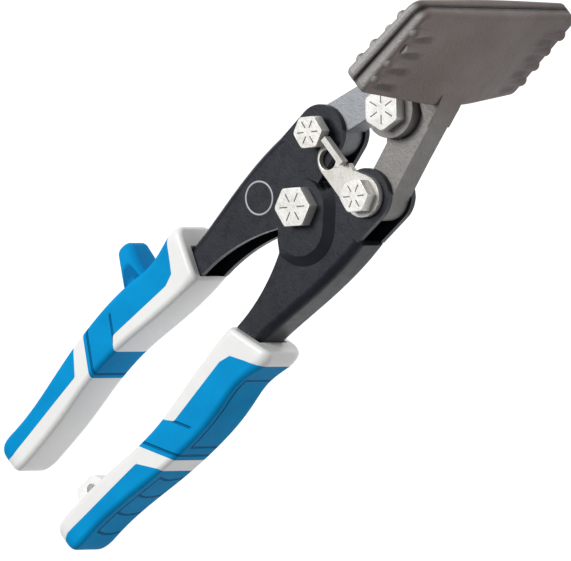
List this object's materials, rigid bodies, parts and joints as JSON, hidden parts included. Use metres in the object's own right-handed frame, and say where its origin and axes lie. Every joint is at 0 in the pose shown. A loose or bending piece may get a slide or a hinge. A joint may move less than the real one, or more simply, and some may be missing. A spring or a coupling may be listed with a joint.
{
  "type": "hand seamer",
  "caption": "Hand seamer for folding sheet metal, with wide flat jaws, compound-leverage handles, a swing latch and two-colour soft grips, shown closed and latched.",
  "frame": {"origin": "on the axis of the handle pivot bolt, midway between the two cheeks of the handle channels", "axes": "+X towards the jaw tip, +Y towards the handle with the thumb horn, +Z out of the bolt heads"},
  "size_m": [0.2172, 0.063, 0.0762],
  "materials": {
    "handle_paint": "satin near-black paint with a slight blue cast",
    "forged_steel": "bead-blasted forged steel, warm grey",
    "bright_zinc": "bright zinc plate",
    "nylon": "nylon locking ring",
    "spring_steel": "oiled spring wire",
    "white_shell": "hard white plastic, semi-gloss",
    "blue_pad": "soft blue elastomer, matte"
  },
  "bodies": {
    "right_handle": {"right_handle": "handle_paint", "handle_pivot_bolt": "bright_zinc", "handle_pivot_nut": "bright_zinc", "handle_pivot_nut_insert": "nylon", "pivot_spacer": "spring_steel", "opening_spring": "spring_steel", "right_link_bolt": "bright_zinc", "right_link_nut": "bright_zinc", "right_link_nut_insert": "nylon", "right_grip_shell": "white_shell", "right_grip_front_pad": "blue_pad", "right_grip_rear_pad": "blue_pad"},
    "left_handle": {"left_handle": "handle_paint", "left_link_bolt": "bright_zinc", "left_link_nut": "bright_zinc", "left_link_nut_insert": "nylon", "left_grip_shell": "white_shell", "left_grip_front_pad": "blue_pad", "left_grip_rear_pad": "blue_pad"},
    "left_jaw": {"left_jaw": "forged_steel", "jaw_pivot_bolt": "bright_zinc", "jaw_pivot_nut": "bright_zinc", "jaw_pivot_nut_insert": "nylon"},
    "right_jaw": {"right_jaw": "forged_steel"},
    "latch": {"latch": "bright_zinc"}
  },
  "joints": [
    {"name": "handle_pivot", "type": "hinge", "parent": "right_handle", "child": "left_handle", "pos_m": [0, 0, 0], "axis": [0, 0, -1], "range_deg": [0, 22]},
    {"name": "left_jaw_link", "type": "hinge", "parent": "left_handle", "child": "left_jaw", "pos_m": [0.0187, 0.0125, 0], "axis": [0, 0, 1], "range_deg": [0, 19.86]},
    {"name": "right_jaw_link", "type": "hinge", "parent": "right_handle", "child": "right_jaw", "pos_m": [0.0187, -0.0125, 0], "axis": [0, 0, -1], "range_deg": [0, 19.86]},
    {"name": "latch_pivot", "type": "hinge", "parent": "right_handle", "child": "latch", "pos_m": [0.0187, -0.0125, 0], "axis": [0, 0, -1], "range_deg": [0, 57.5]}
  ],
  "couplings": [
    {"joint": "left_jaw_link", "follows": "handle_pivot", "ratio": 0.8935},
    {"joint": "right_jaw_link", "follows": "handle_pivot", "ratio": 0.8935},
    {"joint": "latch_pivot", "follows": "handle_pivot", "ratio": 2.6}
  ]
}
